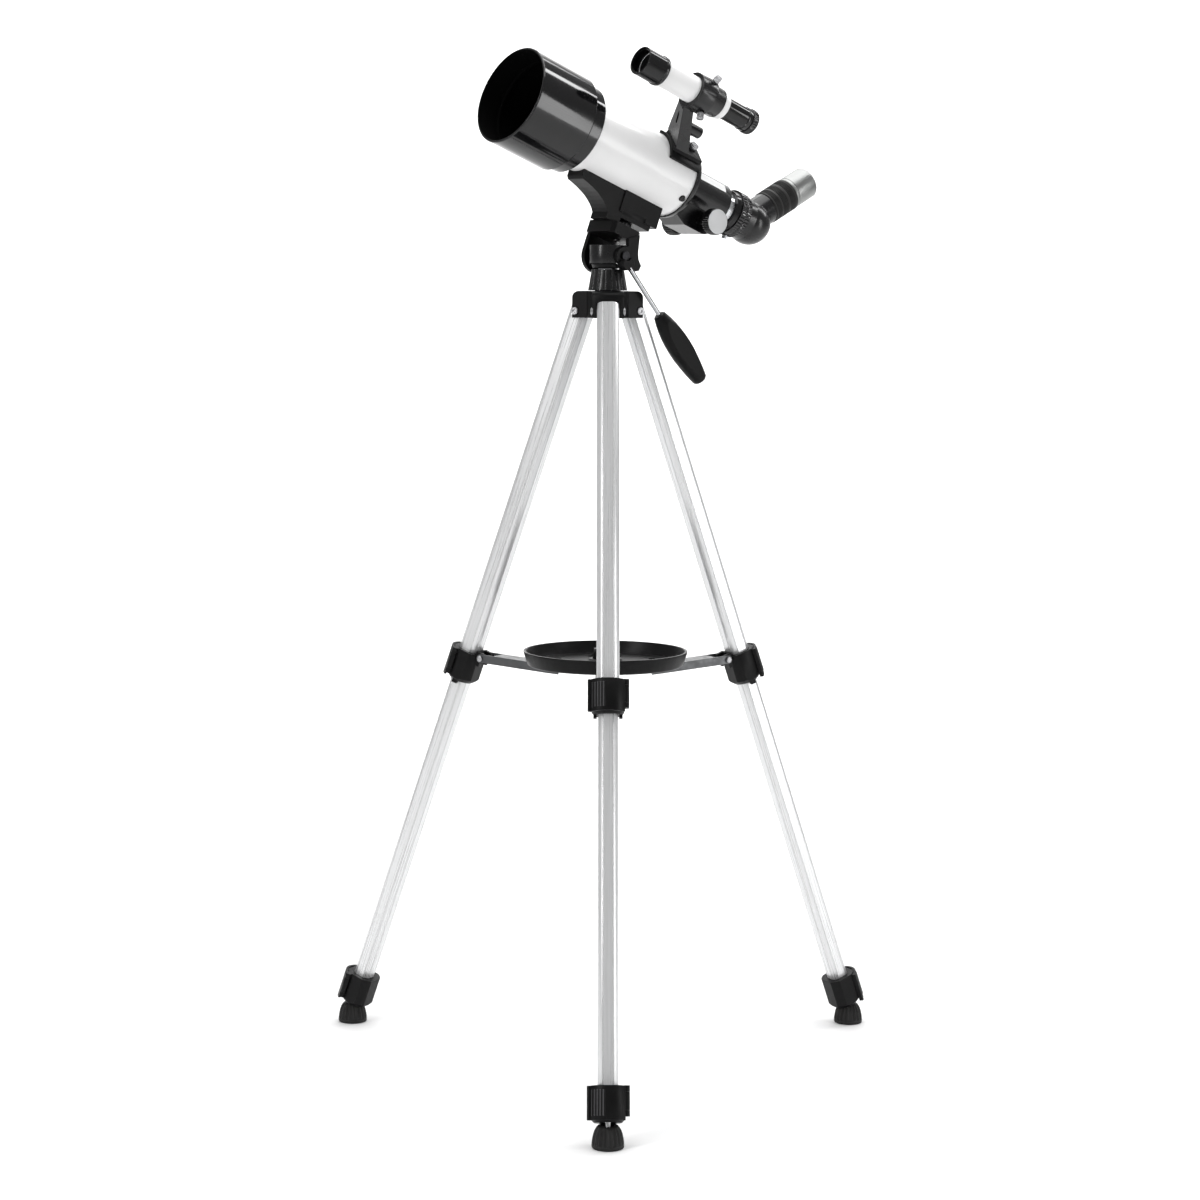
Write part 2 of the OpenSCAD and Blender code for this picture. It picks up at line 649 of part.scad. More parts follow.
module draw_collar() color("black") at_tube() {
    difference() {
        union() {
            along(collar_front - 5, collar_front, 19.6, 19);
            along(collar_rear, collar_front - 5, 21.8);
        }
        along(collar_rear - 1, collar_front + 1, draw_r + 0.02);
        rotate([0, -90, 0]) translate([0, 0, -collar_front + 5.8]) flutes(44, 22.1, 0.8, 4.6);
        rotate([0, -90, 0]) translate([0, 0, -collar_front + 11.6]) flutes(44, 22.1, 0.8, 4.6);
        translate([-160, 0, -30]) cylinder(r = 1.7, h = 20);
    }
}

// Steel shaft with its pinion and the bright discs on the two knobs
module focus_shaft() color("silver") at_tube() translate([shaft_s, 0, shaft_h]) {
    across(shaft_r, 63);
    rotate([90, 0, 0]) linear_extrude(7, center = true) union() {
        circle(pinion_r - tooth_down);
        for (k = [0 : pinion_teeth - 1]) rotate(90 + (k + 0.5) * 360 / pinion_teeth) polygon([
            for (p = [[-1, -tooth_down - 0.3], [-1, tooth_up], [1, tooth_up], [1, -tooth_down - 0.3]])
                [pinion_r + p[1], p[0] * (tooth_half - p[1] * flank)]]);
    }
    for (side = [-1, 1]) translate([0, side * 33.6, 0]) across(11.5, 0.8);
}

module focus_knobs() color("black") at_tube() translate([shaft_s, 0, shaft_h])
    for (side = [-1, 1]) difference() {
        translate([0, side * 28.9, 0]) across(12.4, 10.2);
        translate([0, side * 28.9, 0]) across(shaft_r + 0.02, 12);
        translate([0, side * 34, 0]) across(11.55, 1.6);
        translate([0, side * 23.8 - 5.1, 0]) rotate([-90, 0, 0]) flutes(30, 12.7, 0.6, 14);
    }

// Elbow with a round mirror housing, a plug for the draw tube and a socket for the eyepiece
module diagonal_body() color("black") difference() {
    union() {
        at_tube() along(ball_s, -142, 15.875);
        at_tube() translate([ball_s, 0, 0]) sphere(elbow_ball_r);
        at_tube() along(ball_s + 4, collar_rear - 0.4, 20, 18.4);
        at_eyepiece() translate([0, 0, -12]) cylinder(r = 15.2, h = 12 + eye_step);
        at_eyepiece() translate([0, 0, eye_step - 1]) cylinder(r = 14.6, h = 7);
    }
    at_tube() along(ball_s, -140, 12.6);
    at_eyepiece() translate([0, 0, -16]) cylinder(r = 12.2, h = 40);
    for (k = [0 : 1]) at_eyepiece() translate([0, 0, 4 + 3.4 * k]) rotate_extrude()
        translate([15.4, 0]) circle(0.6, $fn = 16);
}

// Ribbed rubber sleeve round the eyepiece socket
module eyepiece_grip() color("black") at_eyepiece() difference() {
    translate([0, 0, eye_step + 0.05]) cylinder(r = 15.9, h = grip_top - eye_step - 0.05);
    translate([0, 0, eye_step - 1]) cylinder(r = 14.62, h = 7.1);
    translate([0, 0, eye_step]) cylinder(r = 14.2, h = 40);
    for (k = [0 : 1]) translate([0, 0, 19 + 9 * k]) rotate_extrude()
        translate([16, 0]) circle(0.5, $fn = 16);
}

// Bright eyepiece with a stepped barrel and a recessed eye opening
module eyepiece() color("gainsboro") at_eyepiece() rotate_extrude() polygon([
    [11, eye_step + 8], [13.9, eye_step + 8], [13.9, grip_top + 0.1], [eye_r, grip_top + 0.1],
    [eye_r, eye_top - 0.8], [eye_r - 0.8, eye_top], [12.5, eye_top], [8, eye_top - 3.5],
    [8, eye_top - 6], [11, eye_top - 6]]);

// ---- Finder ----

module finder_tube() color("white") at_finder() difference() {
    union() {
        along(-57, 30, finder_r);
        along(-62.2, -55.3, 13);
    }
    along(-70, 40, finder_r - 1.2);
}

// Hood over the finder's objective, with a lip at its rear edge
module finder_hood() color("black") at_finder() difference() {
    union() {
        along(16, 40, 13.3);
        along(15.3, 18.6, 14.1);
    }
    along(15, 30.1, finder_r + 0.02);
    along(10, 60, finder_r - 0.6);
}

module finder_eyepiece() color("black") at_finder() difference() {
    union() {
        along(-101.2, -57, 10.4);
        along(-101.2, -94, 11.9);
        along(-93, -90.6, 11.2);
    }
    along(-104, -50, 8.6);
    along(-104, -100, 9.6);
    rotate([0, -90, 0]) translate([0, 0, 95]) flutes(28, 12.2, 0.5, 5);
}

// Ring, leaning column and foot in one moulding
module finder_bracket() color("black") {
    at_finder() difference() {
        union() {
            along(-55.2, -24, 14.2);
            along(-42.2, -24, 17.4, 16.6);
        }
        along(-60, -20, finder_r + 0.4);
        for (k = [0 : 2]) rotate([120 * k, 0, 0])
            translate([screw_s, 0, 5]) cylinder(r = 1.6 + running, h = 20);
    }
    at_shoe() difference() {
        hull() {
            translate([-61, -14.5, 38.4]) cube([15, 29, 1]);
            translate([-38.6, -6.8, 73]) cube([12, 13.6, 1]);
        }
        at_slot() cylinder(r = 1.7, h = 60, center = true);
        at_slot() translate([4.5, 0, 0]) cylinder(r = 1.7, h = 60, center = true);
        at_slot() translate([0, -1.7, -30]) cube([4.5, 3.4, 60]);
        along(-100, 0, 38);
    }
    at_shoe() translate([-34.4, -6.8, 72]) cube([8, 13.6, 3]);
    at_shoe() difference() {
        translate([0, 0, 56]) along(-65, -46, 5.5);
        translate([0, 0, 56]) along(-66, -56, 2);
    }
}

// Direction of the slot through the bracket's column
module at_slot() translate([-45, 0, 57]) rotate([0, 64, 0]) children();

// Curved pad screwed to the tube under the bracket
module finder_shoe() color("black") at_shoe() difference() {
    intersection() {
        union() {
            along(-80.7, -45, 37.2);
            translate([-80.7, -13, 30]) cube([34.7, 26, 8.3]);
        }
        translate([-90, 0, 0]) rotate([90, 0, 90]) linear_extrude(50)
            polygon([[0, 0], [-31, 48], [31, 48]]);
    }
    along(-100, 0, tube_r + 0.05);
    translate([-71, 0, 30]) cylinder(r = 2.2, h = 20);
}

// Three knurled aiming screws in the ring and the nut on the shoe
module finder_hardware() color("silver") {
    at_finder() for (k = [0 : 2]) rotate([120 * k, 0, 0]) translate([screw_s, 0, 0]) difference() {
        union() {
            translate([0, 0, finder_r + 0.05]) cylinder(r = 1.6, h = 8);
            translate([0, 0, 18.4]) cylinder(r = 3.4, h = 5.6);
        }
        translate([0, 0, 19.4]) flutes(14, 3.6, 0.5, 6);
    }
    at_shoe() translate([-71, 0, 0]) difference() {
        union() {
            translate([0, 0, tube_r + 0.1]) cylinder(r = 2.1, h = 9);
            translate([0, 0, 38.4]) cylinder(r = 4.3, h = 6);
        }
        translate([0, 0, 37]) flutes(16, 4.5, 0.5, 9);
    }
}

upper_tube(0);  // front_upper_tube
middle_tube(0);  // front_middle_tube
lower_tube(0);  // front_lower_tube
upper_clamp(0);  // front_upper_clamp
flip_lever(0, upper_clamp_at);  // front_upper_lever
lower_clamp(0);  // front_lower_clamp
flip_lever(0, lower_clamp_at);  // front_lower_lever
foot(0);  // front_foot
spreader_arm(0);  // front_spreader_arm
upper_tube(1);  // right_upper_tube
middle_tube(1);  // right_middle_tube
lower_tube(1);  // right_lower_tube
upper_clamp(1);  // right_upper_clamp
flip_lever(1, upper_clamp_at);  // right_upper_lever
lower_clamp(1);  // right_lower_clamp
flip_lever(1, lower_clamp_at);  // right_lower_lever
foot(1);  // right_foot
spreader_arm(1);  // right_spreader_arm
upper_tube(2);  // left_upper_tube
middle_tube(2);  // left_middle_tube
lower_tube(2);  // left_lower_tube
upper_clamp(2);  // left_upper_clamp
flip_lever(2, upper_clamp_at);  // left_upper_lever
lower_clamp(2);  // left_lower_clamp
flip_lever(2, lower_clamp_at);  // left_lower_lever
foot(2);  // left_foot
spreader_arm(2);  // left_spreader_arm
tripod_crown();
leg_pivot_screws();
spreader_hub();
accessory_tray();
tray_knob();
center_column();
column_lock_nut();
pan_base();
pan_barrel();
tilt_yoke();
tilt_bolt();
handle_rod();
handle_grip();
camera_screw();
saddle();
main_tube();
dew_shield();
objective_cell();
objective_lens();
focuser_body();
draw_tube();
draw_collar();
focus_shaft();
focus_knobs();
diagonal_body();
eyepiece_grip();
eyepiece();
finder_tube();
finder_hood();
finder_eyepiece();
finder_bracket();
finder_shoe();
finder_hardware();
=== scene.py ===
"""Looks for a small refracting telescope on its folding tripod.

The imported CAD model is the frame: every place and direction below is worked out from its nodes,
joints and mounts, in metres. CAD nodes whose shape is right keep it and get a material here;
the others are replaced by a finer piece.
"""
import json
import math

import bmesh
import bpy
from mathutils import Matrix, Vector


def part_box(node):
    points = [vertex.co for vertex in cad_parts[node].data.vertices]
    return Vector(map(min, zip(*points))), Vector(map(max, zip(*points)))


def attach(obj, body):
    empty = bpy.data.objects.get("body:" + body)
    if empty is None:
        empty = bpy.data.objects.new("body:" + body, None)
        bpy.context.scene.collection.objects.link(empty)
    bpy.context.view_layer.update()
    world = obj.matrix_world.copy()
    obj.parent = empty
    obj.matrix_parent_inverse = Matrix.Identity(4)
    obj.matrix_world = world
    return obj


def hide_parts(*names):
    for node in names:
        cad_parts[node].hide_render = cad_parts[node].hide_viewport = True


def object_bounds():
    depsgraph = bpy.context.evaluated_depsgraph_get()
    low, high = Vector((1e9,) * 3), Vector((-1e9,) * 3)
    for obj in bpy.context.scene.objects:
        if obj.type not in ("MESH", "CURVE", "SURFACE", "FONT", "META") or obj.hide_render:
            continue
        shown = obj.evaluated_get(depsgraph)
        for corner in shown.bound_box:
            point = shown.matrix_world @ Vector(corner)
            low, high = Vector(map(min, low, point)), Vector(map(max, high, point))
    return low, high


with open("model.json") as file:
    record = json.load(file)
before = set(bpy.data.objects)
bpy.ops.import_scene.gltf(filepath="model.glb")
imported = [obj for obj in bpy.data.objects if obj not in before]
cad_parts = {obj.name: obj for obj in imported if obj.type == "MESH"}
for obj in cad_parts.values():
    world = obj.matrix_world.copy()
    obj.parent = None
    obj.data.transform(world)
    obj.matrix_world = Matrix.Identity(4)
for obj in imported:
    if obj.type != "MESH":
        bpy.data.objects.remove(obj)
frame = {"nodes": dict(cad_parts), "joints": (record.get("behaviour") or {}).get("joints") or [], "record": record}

cad_low, cad_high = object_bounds()
record = frame["record"]
nodes = frame["nodes"]
joints = {j["name"]: j for j in frame["joints"]}
mounts = {m["name"]: m for m in record["mounts"]}
BODIES = {n: body for body, members in record["behaviour"]["bodies"].items() for n in members}
LEGS = ("front", "right", "left")
UP = Vector((0, 0, 1))


# ---- Directions and places from the frame ----


def direction(joint):
    """A joint's axis as a unit vector."""
    return Vector(joints[joint]["axis"]).normalized()


def pivot(joint):
    """A point on a joint's axis."""
    return Vector(joints[joint]["pos_m"])


def centre(node):
    low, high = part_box(node)
    return (low + high) / 2


def axes(x, y, origin):
    """A local frame as a matrix: x and y as given, z square to both."""
    x, y = x.normalized(), y.normalized()
    z = x.cross(y)
    return Matrix.Translation(origin) @ Matrix((x, y, z)).transposed().to_4x4()


# the tube's local frame starts this far ahead of the diagonal's turning joint
TURN_BEHIND = 0.170
# the finder leans round the tube by this angle, at this distance from the tube's axis
FINDER_ANGLE = math.radians(44)
FINDER_OFFSET = 0.0901
# the eyepiece's local frame starts this far below the mouth of its barrel
BARREL_LENGTH = 0.054

tripod_axis = centre("accessory_tray")
tripod_axis.z = 0
forward = -direction("draw_slide")
sideways = -direction("tilt")
eye_axis = direction("eyepiece_slide")

TUBE = axes(forward, sideways, pivot("diagonal_turn") + forward * TURN_BEHIND)
SHOE = TUBE @ Matrix.Rotation(-FINDER_ANGLE, 4, "X")
FINDER = SHOE @ Matrix.Translation((0, 0, FINDER_OFFSET))
EYE = axes(eye_axis, sideways, Vector(mounts["eyepiece_barrel"]["pos_m"]) - eye_axis * BARREL_LENGTH)
HANDLE = axes(direction("handle_twist"), sideways, pivot("handle_twist"))
SHAFT = axes(sideways, forward, pivot("focus_turn"))
COLUMN = axes(UP, Vector((0, 1, 0)), tripod_axis)


# ---- Node building ----


class Nodes:
    """A material being built: makes nodes, and links them by the values passed in."""

    def __init__(self, name):
        self.material = bpy.data.materials.new(name)
        self.material.use_nodes = True
        self.tree = self.material.node_tree
        self.shader = self.tree.nodes["Principled BSDF"]

    def put(self, socket, value):
        """Links another node's output to a socket, or sets a constant on it."""
        if isinstance(value, bpy.types.NodeSocket):
            self.tree.links.new(value, socket)
        elif value is not None:
            socket.default_value = value

    def make(self, kind, inputs=(), **settings):
        node = self.tree.nodes.new("ShaderNode" + kind)
        for key, value in settings.items():
            setattr(node, key, value)
        for key, value in dict(inputs).items():
            self.put(node.inputs[key], value)
        return node

    def surface(self, **values):
        """Sets the shader's sockets, named with underscores, and gives the finished material."""
        for key, value in values.items():
            self.put(self.shader.inputs[key.replace("_", " ")], value)
        return self.material

    def place(self):
        return self.make("TexCoord").outputs["Object"]

    def turned(self, matrix, scale=(1, 1, 1)):
        """Object coordinates seen in a local frame, then scaled."""
        local = matrix.inverted()
        point = self.make("Mapping", {"Vector": self.place(), "Location": local.to_translation(),
                                      "Rotation": local.to_euler()})
        return self.make("Mapping", {"Vector": point.outputs[0], "Scale": scale}).outputs[0]

    def noise(self, vector, scale, detail=3.0, roughness=0.55):
        return self.make("TexNoise", {"Vector": vector, "Scale": scale, "Detail": detail,
                                      "Roughness": roughness}).outputs["Fac"]

    def ramp(self, value, low, high, start=0.3, end=0.7):
        """Low to high as the value goes from start to end; noise mostly stays within 0.3 to 0.7."""
        return self.make("MapRange", {"Value": value, "From Min": start, "From Max": end,
                                      "To Min": low, "To Max": high}).outputs[0]

    def colours(self, factor, first, second):
        """A mix of two colours, each an (r, g, b) or another node's output."""
        node = self.make("Mix", data_type="RGBA")
        self.put(node.inputs[0], factor)
        for socket, value in ((node.inputs[6], first), (node.inputs[7], second)):
            self.put(socket, (*value, 1) if isinstance(value, tuple) else value)
        return node.outputs[2]

    def maths(self, operation, first, second=None):
        node = self.make("Math", operation=operation)
        self.put(node.inputs[0], first)
        self.put(node.inputs[1], second)
        return node.outputs[0]

    def bump(self, height, distance, strength=1.0, normal=None):
        node = self.make("Bump", {"Height": height, "Distance": distance, "Strength": strength})
        self.put(node.inputs["Normal"], normal)
        return node.outputs[0]

    def rounded(self, radius):
        """The surface's normal with its sharp edges rounded over."""
        return self.make("Bevel", {"Radius": radius}, samples=6).outputs[0]

    def edges(self, radius):
        """1 on sharp edges and 0 on the open surface."""
        plain = self.make("NewGeometry").outputs["Normal"]
        dot = self.make("VectorMath", {0: self.rounded(radius), 1: plain}, operation="DOT_PRODUCT")
        return self.ramp(dot.outputs["Value"], 1.0, 0.0, 0.80, 0.99)

    def bore(self, matrix, radius):
        """1 nearer to the local frame's x axis than the radius, and 0 outside it."""
        point = self.turned(matrix, (0, 1, 1))
        distance = self.make("VectorMath", {0: point}, operation="LENGTH").outputs["Value"]
        return self.ramp(distance, 1.0, 0.0, radius, radius + 0.0001)


# ---- Materials ----


def grey(value, blue=1.0):
    """A neutral colour; blue above 1 makes it slightly cold."""
    return (value, value, value * blue)


def scaled(colour, factor):
    return tuple(c * factor for c in colour)


def white_paint(name, matrix, bore_r):
    """Gloss white enamel outside, flat black inside the bore."""
    m = Nodes(name)
    peel = m.noise(m.place(), 260, 2)
    cloud = m.noise(m.place(), 22, 4)
    inside = m.bore(matrix, bore_r)
    white = m.colours(cloud, grey(0.80), grey(0.87))
    worn = m.colours(m.edges(0.0006), white, (0.60, 0.60, 0.59))
    base = m.colours(inside, worn, grey(0.008))
    rough = m.maths("ADD", m.ramp(cloud, 0.24, 0.27), m.maths("MULTIPLY", inside, 0.6))
    return m.surface(Base_Color=base, Roughness=rough, Coat_Weight=0.12, Coat_Roughness=0.08,
                     Normal=m.bump(peel, 0.00005, 0.2, m.rounded(0.0004)))


def gloss_black(name, matrix=None, bore_r=0.0, shine=(0.06, 0.15)):
    """Glossy black paint or moulding with faint smears and dust; flat black inside a bore."""
    m = Nodes(name)
    smear = m.noise(m.turned(TUBE, (1, 3, 3)), 24, 5)
    dust = m.ramp(m.noise(m.place(), 1500, 1), 0.0, 1.0, 0.66, 0.78)
    base = m.colours(m.maths("MULTIPLY", dust, 0.3), (0.0035, 0.0035, 0.004), grey(0.03))
    base = m.colours(m.edges(0.0006), base, (0.025, 0.025, 0.026))
    rough = m.ramp(smear, *shine, end=0.75)
    specular, bore_specular = 0.45, 0.06
    if matrix is not None:
        inside = m.bore(matrix, bore_r)
        rough = m.maths("ADD", rough, inside)
        base = m.colours(inside, base, grey(0.0015))
        specular = m.ramp(inside, specular, bore_specular, 0.0, 1.0)
    peel = m.noise(m.place(), 320, 2)
    return m.surface(Base_Color=base, Roughness=rough, Specular_IOR_Level=specular,
                     Normal=m.bump(peel, 0.00004, 0.3, m.rounded(0.0005)))


def satin_black(name="satin_black_moulding", grain=2600, shade=0.0035):
    """Moulded black plastic: fine spark-eroded grain, paler on its worn edges."""
    m = Nodes(name)
    fine = m.noise(m.place(), grain, 2)
    cloud = m.noise(m.place(), 45, 4)
    base = m.colours(cloud, grey(shade, 1.05), (shade * 1.8, shade * 1.8, shade * 1.85))
    worn = m.colours(m.edges(0.0007), base, (shade * 5, shade * 5, shade * 5.1))
    return m.surface(Base_Color=worn, Roughness=m.ramp(cloud, 0.32, 0.44), Specular_IOR_Level=0.13,
                     Normal=m.bump(fine, 0.00008, 0.35, m.rounded(0.0006)))


def rubber():
    """Dull black rubber with a fine grain and slightly dusty patches."""
    m = Nodes("black_rubber")
    cloud = m.noise(m.place(), 60, 5)
    fine = m.noise(m.place(), 1800, 3)
    base = m.colours(cloud, grey(0.006), (0.016, 0.0155, 0.015))
    return m.surface(Base_Color=base, Roughness=m.ramp(cloud, 0.45, 0.65), Specular_IOR_Level=0.3,
                     Normal=m.bump(fine, 0.0001, 0.5, m.rounded(0.0005)))


def drawn_metal(name, matrix, colour, rough, spread, metal=1.0, groove_shade=0.0):
    """Metal with fine lines along the local frame's x axis, and painted shade darkening its sharp edges and
    grooves if asked.
    """
    m = Nodes(name)
    lines = m.noise(m.turned(matrix, (1.5, 160, 160)), 9, 4, 0.65)
    broad = m.noise(m.turned(matrix, (0.6, 9, 9)), 6, 3)
    base = m.colours(m.ramp(lines, 0.0, 1.0, 0.35, 0.65), scaled(colour, 0.88), colour)
    # painted shade: sharp edges and grooves are darkened as shade would darken them
    if groove_shade:
        base = m.colours(m.edges(0.0006), base, scaled(colour, 1 - groove_shade))
    roughness = m.maths("ADD", m.ramp(lines, rough - spread, rough + spread),
                        m.ramp(broad, -0.03, 0.03))
    return m.surface(Base_Color=base, Metallic=metal, Roughness=roughness,
                     Normal=m.bump(lines, 0.00002, 0.3, m.rounded(0.0003)))


def turned_metal(name, matrix, colour, rough):
    """Metal with lathe lines round the local frame's x axis."""
    m = Nodes(name)
    along = m.make("SeparateXYZ", {0: m.turned(matrix)}).outputs[0]
    lines = m.maths("SINE", m.maths("MULTIPLY", along, 24000))
    cloud = m.noise(m.place(), 70, 4)
    return m.surface(Base_Color=m.colours(cloud, scaled(colour, 0.92), colour), Metallic=1.0,
                     Roughness=m.ramp(cloud, rough * 0.8, rough * 1.25),
                     Normal=m.bump(lines, 0.000012, 0.5, m.rounded(0.0003)))


def zinc_strip():
    """Dulled zinc plate on spring strip: soft mottling in small cells."""
    m = Nodes("zinc_plated_strip")
    cells = m.make("TexVoronoi", {"Vector": m.place(), "Scale": 240}, feature="SMOOTH_F1")
    cells = cells.outputs["Distance"]
    cloud = m.noise(m.place(), 50, 4)
    base = m.colours(cloud, (0.075, 0.077, 0.08), (0.12, 0.122, 0.125))
    return m.surface(Base_Color=base, Metallic=0.9, Roughness=m.ramp(cells, 0.30, 0.46, 0.1, 0.6),
                     Normal=m.bump(cells, 0.00003, 0.25, m.rounded(0.0004)))


def coated_glass():
    """Lens glass with a pale blue-green coating."""
    m = Nodes("coated_glass")
    tint = (0.80, 0.84, 0.88)
    cloud = m.noise(m.place(), 30, 2)
    return m.surface(Base_Color=m.colours(cloud, tint, scaled(tint, 1.04)),
                     Roughness=m.ramp(cloud, 0.01, 0.03), Transmission_Weight=1.0, IOR=1.5,
                     Coat_Weight=0.3, Coat_Tint=(0.80, 0.90, 0.95, 1))


def label_paper():
    """White label film with a faint fibre."""
    m = Nodes("white_label_film")
    fibre = m.noise(m.place(), 900, 4)
    return m.surface(Base_Color=m.colours(fibre, grey(0.62), grey(0.78)),
                     Roughness=m.ramp(fibre, 0.30, 0.42), Normal=m.bump(fibre, 0.00002, 0.2))


# bore radii inside which paint turns flat black
TUBE_BORE, FINDER_BORE, HOOD_BORE = 0.03315, 0.01135, 0.04355

satin = satin_black()
grained = satin_black("grained_black_moulding", 1700, 0.003)
cast_black = gloss_black("painted_black_casting", shine=(0.14, 0.26))
moulded = gloss_black("polished_black_moulding", shine=(0.20, 0.32))
# the ribs' black is far paler than the lever's: a painted highlight along each rib
rib_black = satin_black("highlit_black_ribs", 1700, 0.045)
tube_white = white_paint("white_enamel_tube", TUBE, TUBE_BORE)
finder_white = white_paint("white_enamel_finder", FINDER, FINDER_BORE)
black = gloss_black("gloss_black_paint")
hood_black = gloss_black("gloss_black_hood", TUBE, HOOD_BORE)
chrome_tube = turned_metal("chrome_draw_tube", TUBE, (0.70, 0.71, 0.73), 0.12)
chrome_rod = drawn_metal("chrome_rod", HANDLE, (0.40, 0.405, 0.415), 0.16, 0.03)
chrome_column = drawn_metal("chrome_column", COLUMN, (0.66, 0.67, 0.69), 0.16, 0.04)
silver_eyepiece = turned_metal("satin_silver_eyepiece", EYE, (0.30, 0.305, 0.30), 0.34)
silver_disc = turned_metal("spun_silver_disc", SHAFT, (0.46, 0.465, 0.47), 0.36)
steel = turned_metal("knurled_steel", FINDER, (0.42, 0.42, 0.43), 0.28)
screw_steel = turned_metal("bright_screw", COLUMN, (0.40, 0.40, 0.41), 0.30)
dark_steel = turned_metal("blackened_bolt", COLUMN, (0.03, 0.03, 0.032), 0.34)
strip = zinc_strip()
black_rubber = rubber()
paper = label_paper()
lens = coated_glass()
# gloss black standing for lens glass: the darkness behind the glass is painted in as its colour, painted shade
dark_lens = gloss_black("dark_optic")

CLAMPS = ("upper_clamp", "lower_clamp")
LEVERS = ("upper_lever", "lower_lever")
TUBES = ("upper_tube", "middle_tube", "lower_tube")


def dress(material, *names):
    """Gives CAD nodes a material."""
    for name in names:
        slots = nodes[name].data.materials
        slots.clear()
        slots.append(material)


for leg in LEGS:
    fold = leg + "_leg_fold"
    leg_frame = axes(direction(leg + "_middle_slide"), direction(fold), pivot(fold))
    # painted shade darkens the legs' sharp edges and grooves
    aluminium = drawn_metal(leg + "_leg_aluminium", leg_frame, (0.78, 0.785, 0.79), 0.30, 0.05,
                            metal=0.6, groove_shade=0.7)
    dress(aluminium, *(f"{leg}_{part}" for part in TUBES))
    dress(satin, *(f"{leg}_{part}" for part in CLAMPS))
    dress(grained, *(f"{leg}_{part}" for part in LEVERS))
    dress(strip, leg + "_spreader_arm")

dress(satin, "tripod_crown", "spreader_hub", "accessory_tray", "tray_knob", "pan_base", "finder_shoe")
dress(moulded, "column_lock_nut", "pan_barrel", "camera_screw", "finder_bracket", "diagonal_body")
dress(grained, "tilt_yoke", "saddle", "handle_grip")
dress(screw_steel, "leg_pivot_screws")
dress(dark_steel, "tilt_bolt")
dress(chrome_column, "center_column")
dress(chrome_rod, "handle_rod")
dress(tube_white, "main_tube")
dress(finder_white, "finder_tube")
dress(hood_black, "dew_shield")
dress(cast_black, "focuser_body")
dress(black, "objective_cell", "draw_collar", "focus_knobs", "finder_hood", "finder_eyepiece")
dress(lens, "objective_lens")
dress(chrome_tube, "draw_tube")
dress(silver_disc, "focus_shaft")
dress(black_rubber, "eyepiece_grip")
dress(silver_eyepiece, "eyepiece")
dress(steel, "finder_hardware")


# ---- Shape of the carried-over CAD nodes ----

# edges that turn by more than this are sharp; triangles that turn by less than FLAT are one face
SHARP = math.radians(32)
FLAT = math.radians(0.8)
FINE_EDGE, BROAD_EDGE, THIN_EDGE = 0.00025, 0.0006, 0.0002


def soften(width, *names):
    """Welds a CAD node's faces, clears its flat triangles and rounds its sharp edges over."""
    for name in names:
        modifiers = nodes[name].modifiers
        modifiers.new("weld", "WELD").merge_threshold = 0.000002
        flat = modifiers.new("flat", "DECIMATE")
        flat.decimate_type = "DISSOLVE"
        flat.angle_limit = FLAT
        bevel = modifiers.new("round", "BEVEL")
        bevel.width = width
        bevel.segments = 2
        bevel.limit_method = "ANGLE"
        bevel.angle_limit = SHARP
        bevel.use_clamp_overlap = True
        bevel.harden_normals = False


def soften_nodes():
    soften(FINE_EDGE, "focuser_body", "finder_hardware", "finder_shoe", "draw_tube", "focus_shaft",
           "camera_screw", "tilt_bolt", "leg_pivot_screws", "finder_hood", "finder_tube")
    soften(BROAD_EDGE, "tilt_yoke", "saddle", "tripod_crown", "pan_barrel", "pan_base",
           "column_lock_nut", "tray_knob", "spreader_hub", "finder_bracket", "handle_grip",
           "accessory_tray")
    for leg in LEGS:
        soften(BROAD_EDGE, *(f"{leg}_{part}" for part in CLAMPS + LEVERS))
        soften(THIN_EDGE, *(f"{leg}_{part}" for part in (*TUBES, "spreader_arm")))


# ---- Finer pieces ----

# vertices closer together than this are one
MERGE = 0.0000005
# an outline that ends on the axis stops this far from it, and anything nearer lies on the axis
PINHOLE = 0.0001


def filleted(outline, size):
    """The outline with each corner rounded over, as (x, radius, flute depth)."""
    points = []
    for i, corner in enumerate(outline):
        if corner[1] < PINHOLE:
            points.append((*corner, 0.0)[:3])
            continue
        before, after = outline[i - 1], outline[(i + 1) % len(outline)]
        here = Vector(corner[:2])
        arms = [Vector(p[:2]) - here for p in (before, after)]
        cut = min(size, 0.45 * min(a.length for a in arms))
        start, end = (here + a.normalized() * cut for a in arms)
        for t in (0.0, 0.5, 1.0):
            p = start * (1 - t) ** 2 + here * 2 * t * (1 - t) + end * t ** 2
            points.append((p.x, p.y, corner[2] if len(corner) > 2 else 0.0))
    return points


def finish_mesh(mesh, name, node, material, replace=False):
    """A visible piece on a CAD node's own body; it may stand for the node."""
    bmesh.ops.remove_doubles(mesh, verts=mesh.verts, dist=MERGE)
    bmesh.ops.recalc_face_normals(mesh, faces=mesh.faces)
    data = bpy.data.meshes.new(name)
    for face in mesh.faces:
        face.smooth = True
    mesh.to_mesh(data)
    mesh.free()
    data.set_sharp_from_angle(angle=SHARP)
    data.materials.append(material)
    obj = bpy.data.objects.new(name, data)
    bpy.context.scene.collection.objects.link(obj)
    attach(obj, BODIES[node])
    if replace:
        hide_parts(node)


